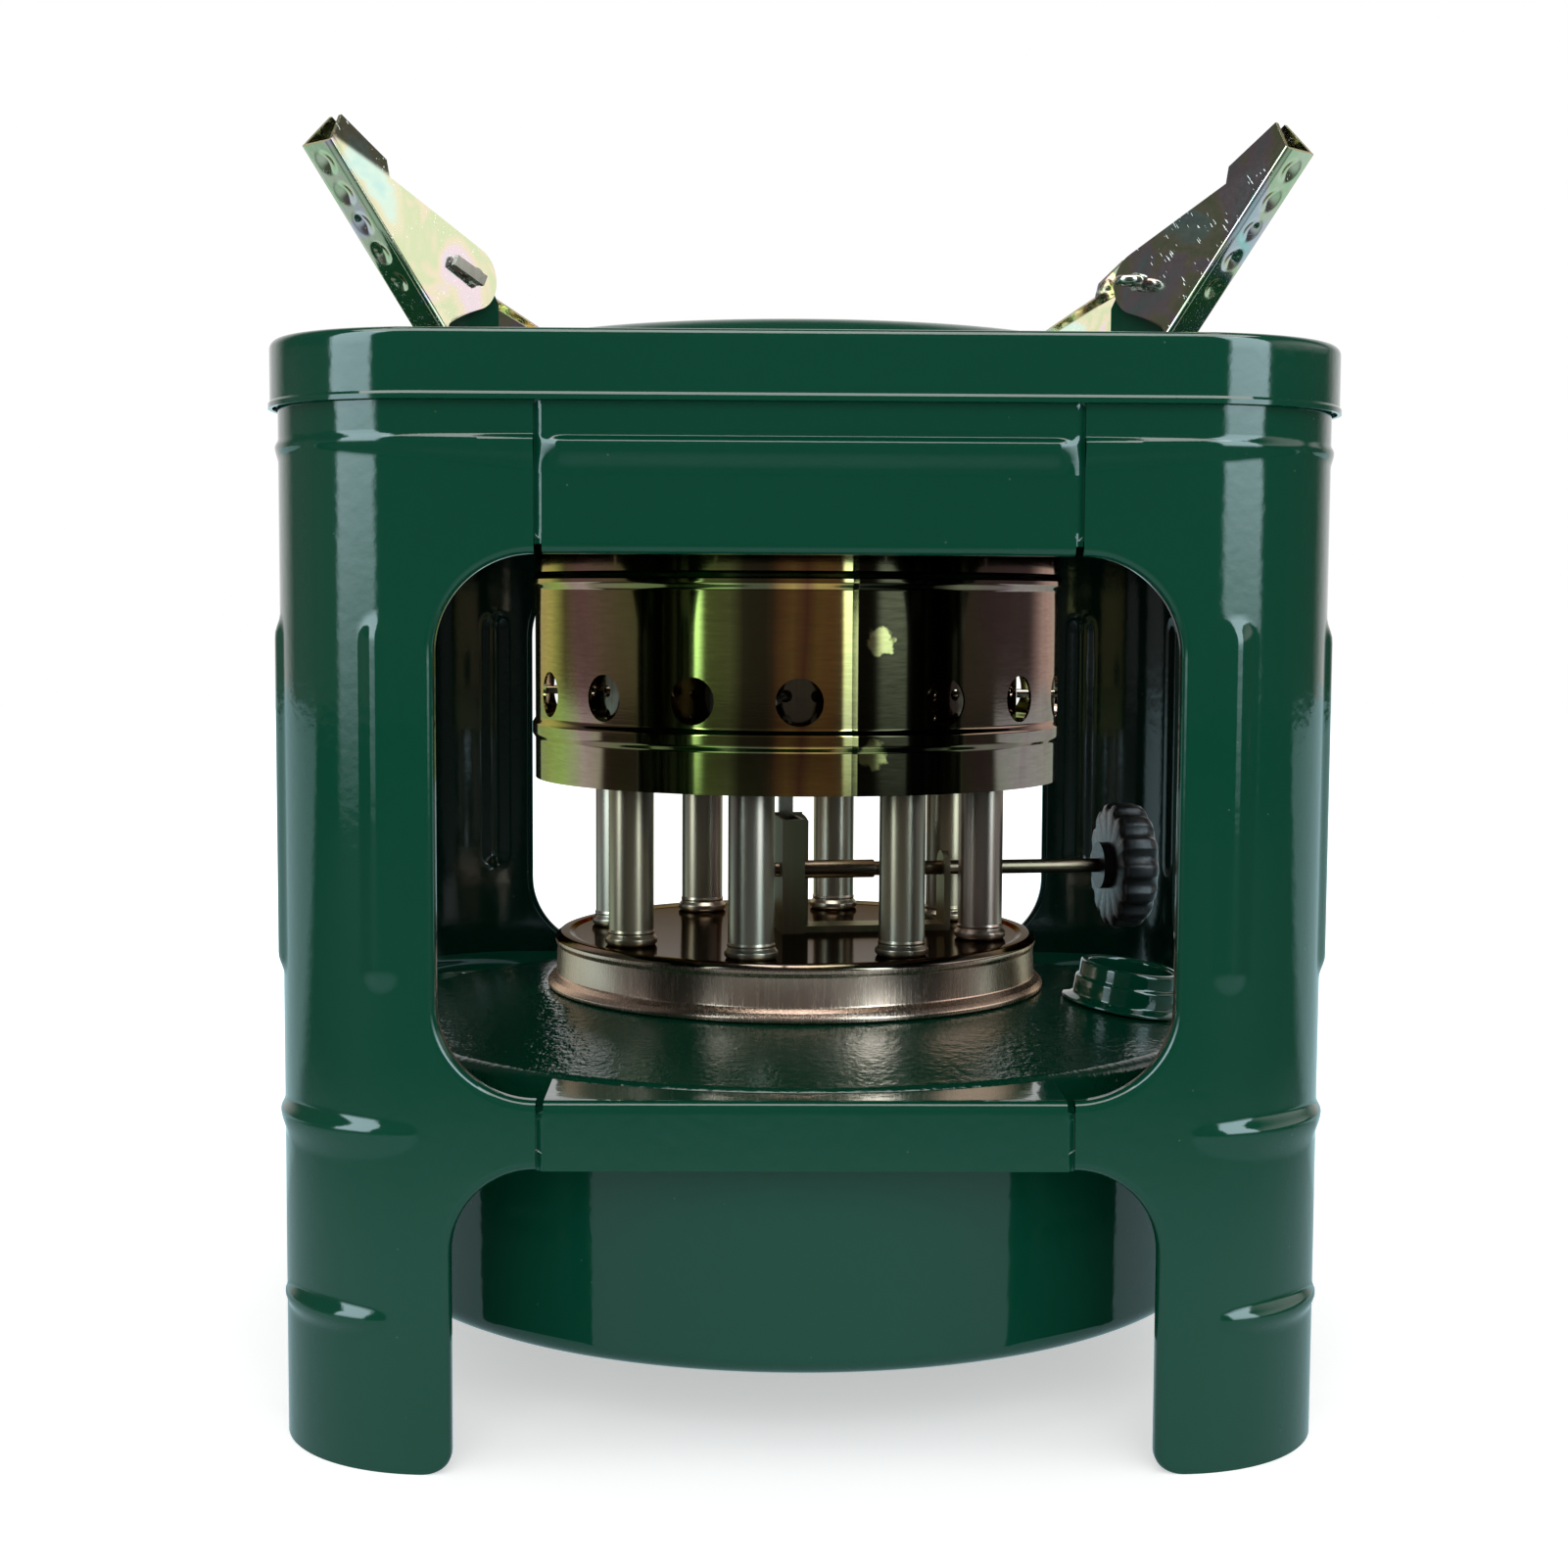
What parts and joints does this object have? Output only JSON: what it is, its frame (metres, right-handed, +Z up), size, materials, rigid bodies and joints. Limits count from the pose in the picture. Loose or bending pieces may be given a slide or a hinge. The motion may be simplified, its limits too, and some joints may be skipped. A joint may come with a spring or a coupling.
{
  "type": "kerosene camping stove",
  "caption": "Square enamelled wick stove with open sides, a round tank, a plated burner, a lift-off chimney and folding pot supports.",
  "frame": {"origin": "on the ground, under the middle of the stove", "axes": "+Z up, -Y the front shown in the picture, +X the knob side"},
  "size_m": [0.2118, 0.2118, 0.2578],
  "materials": {
    "enamel_green": "glossy dark green enamel",
    "zinc_plate": "yellow passivated zinc plate with colour play",
    "bare_steel": "bright plated steel",
    "knob_plastic": "satin black moulding",
    "wick_cotton": "braided cotton"
  },
  "bodies": {
    "frame": {"lid": "enamel_green", "leg_front_right": "enamel_green", "leg_rear_right": "enamel_green", "leg_rear_left": "enamel_green", "leg_front_left": "enamel_green", "apron_front": "enamel_green", "apron_right": "enamel_green", "apron_rear": "enamel_green", "apron_left": "enamel_green", "crossbar_front": "enamel_green", "crossbar_right": "enamel_green", "crossbar_rear": "enamel_green", "crossbar_left": "enamel_green", "tank_bowl": "enamel_green", "tank_top": "enamel_green", "filler_neck": "enamel_green", "burner_base": "zinc_plate", "wick_gallery": "zinc_plate", "guide_post": "bare_steel", "shaft_bracket": "bare_steel", "wick_tube_1": "bare_steel", "wick_tube_2": "bare_steel", "wick_tube_3": "bare_steel", "wick_tube_4": "bare_steel", "wick_tube_5": "bare_steel", "wick_tube_6": "bare_steel", "wick_tube_7": "bare_steel", "wick_tube_8": "bare_steel", "lug_front_right": "enamel_green", "lug_rear_right": "enamel_green", "lug_rear_left": "enamel_green", "lug_front_left": "enamel_green"},
    "wick_raiser": {"wick_carrier": "bare_steel", "wick_rack": "bare_steel", "wick_1": "wick_cotton", "wick_2": "wick_cotton", "wick_3": "wick_cotton", "wick_4": "wick_cotton", "wick_5": "wick_cotton", "wick_6": "wick_cotton", "wick_7": "wick_cotton", "wick_8": "wick_cotton"},
    "control": {"control_shaft": "zinc_plate", "pinion": "bare_steel", "knob": "knob_plastic"},
    "chimney": {"chimney_drum": "zinc_plate", "flame_tube_outer": "zinc_plate", "flame_tube_inner": "zinc_plate", "spacer_pins": "bare_steel"},
    "support_front_right": {"support_front_right": "zinc_plate", "pin_front_right": "bare_steel"},
    "support_rear_right": {"support_rear_right": "zinc_plate", "pin_rear_right": "bare_steel"},
    "support_rear_left": {"support_rear_left": "zinc_plate", "pin_rear_left": "bare_steel"},
    "support_front_left": {"support_front_left": "zinc_plate", "pin_front_left": "bare_steel"}
  },
  "joints": [
    {"name": "wick_lift", "type": "slide", "parent": "frame", "child": "wick_raiser", "axis": [0, 0, 1], "range_m": [0, 0.012]},
    {"name": "control_turn", "type": "hinge", "parent": "frame", "child": "control", "pos_m": [0, 0, 0.1048], "axis": [0.9888, 0.1495, 0], "range_deg": [0, 172]},
    {"name": "chimney_lift", "type": "slide", "parent": "frame", "child": "chimney", "axis": [0, 0, 1], "range_m": [0, 0.045]},
    {"name": "fold_front_right", "type": "hinge", "parent": "frame", "child": "support_front_right", "pos_m": [0.0681, -0.0681, 0.2305], "axis": [0.7071, 0.7071, 0], "range_deg": [-129, 0]},
    {"name": "fold_rear_right", "type": "hinge", "parent": "frame", "child": "support_rear_right", "pos_m": [0.0681, 0.0681, 0.2305], "axis": [-0.7071, 0.7071, 0], "range_deg": [-129, 0]},
    {"name": "fold_rear_left", "type": "hinge", "parent": "frame", "child": "support_rear_left", "pos_m": [-0.0681, 0.0681, 0.2305], "axis": [-0.7071, -0.7071, 0], "range_deg": [-129, 0]},
    {"name": "fold_front_left", "type": "hinge", "parent": "frame", "child": "support_front_left", "pos_m": [-0.0681, -0.0681, 0.2305], "axis": [0.7071, -0.7071, 0], "range_deg": [-129, 0]}
  ],
  "couplings": [
    {"joint": "control_turn", "follows": "wick_lift", "rad_per_m": 250}
  ]
}
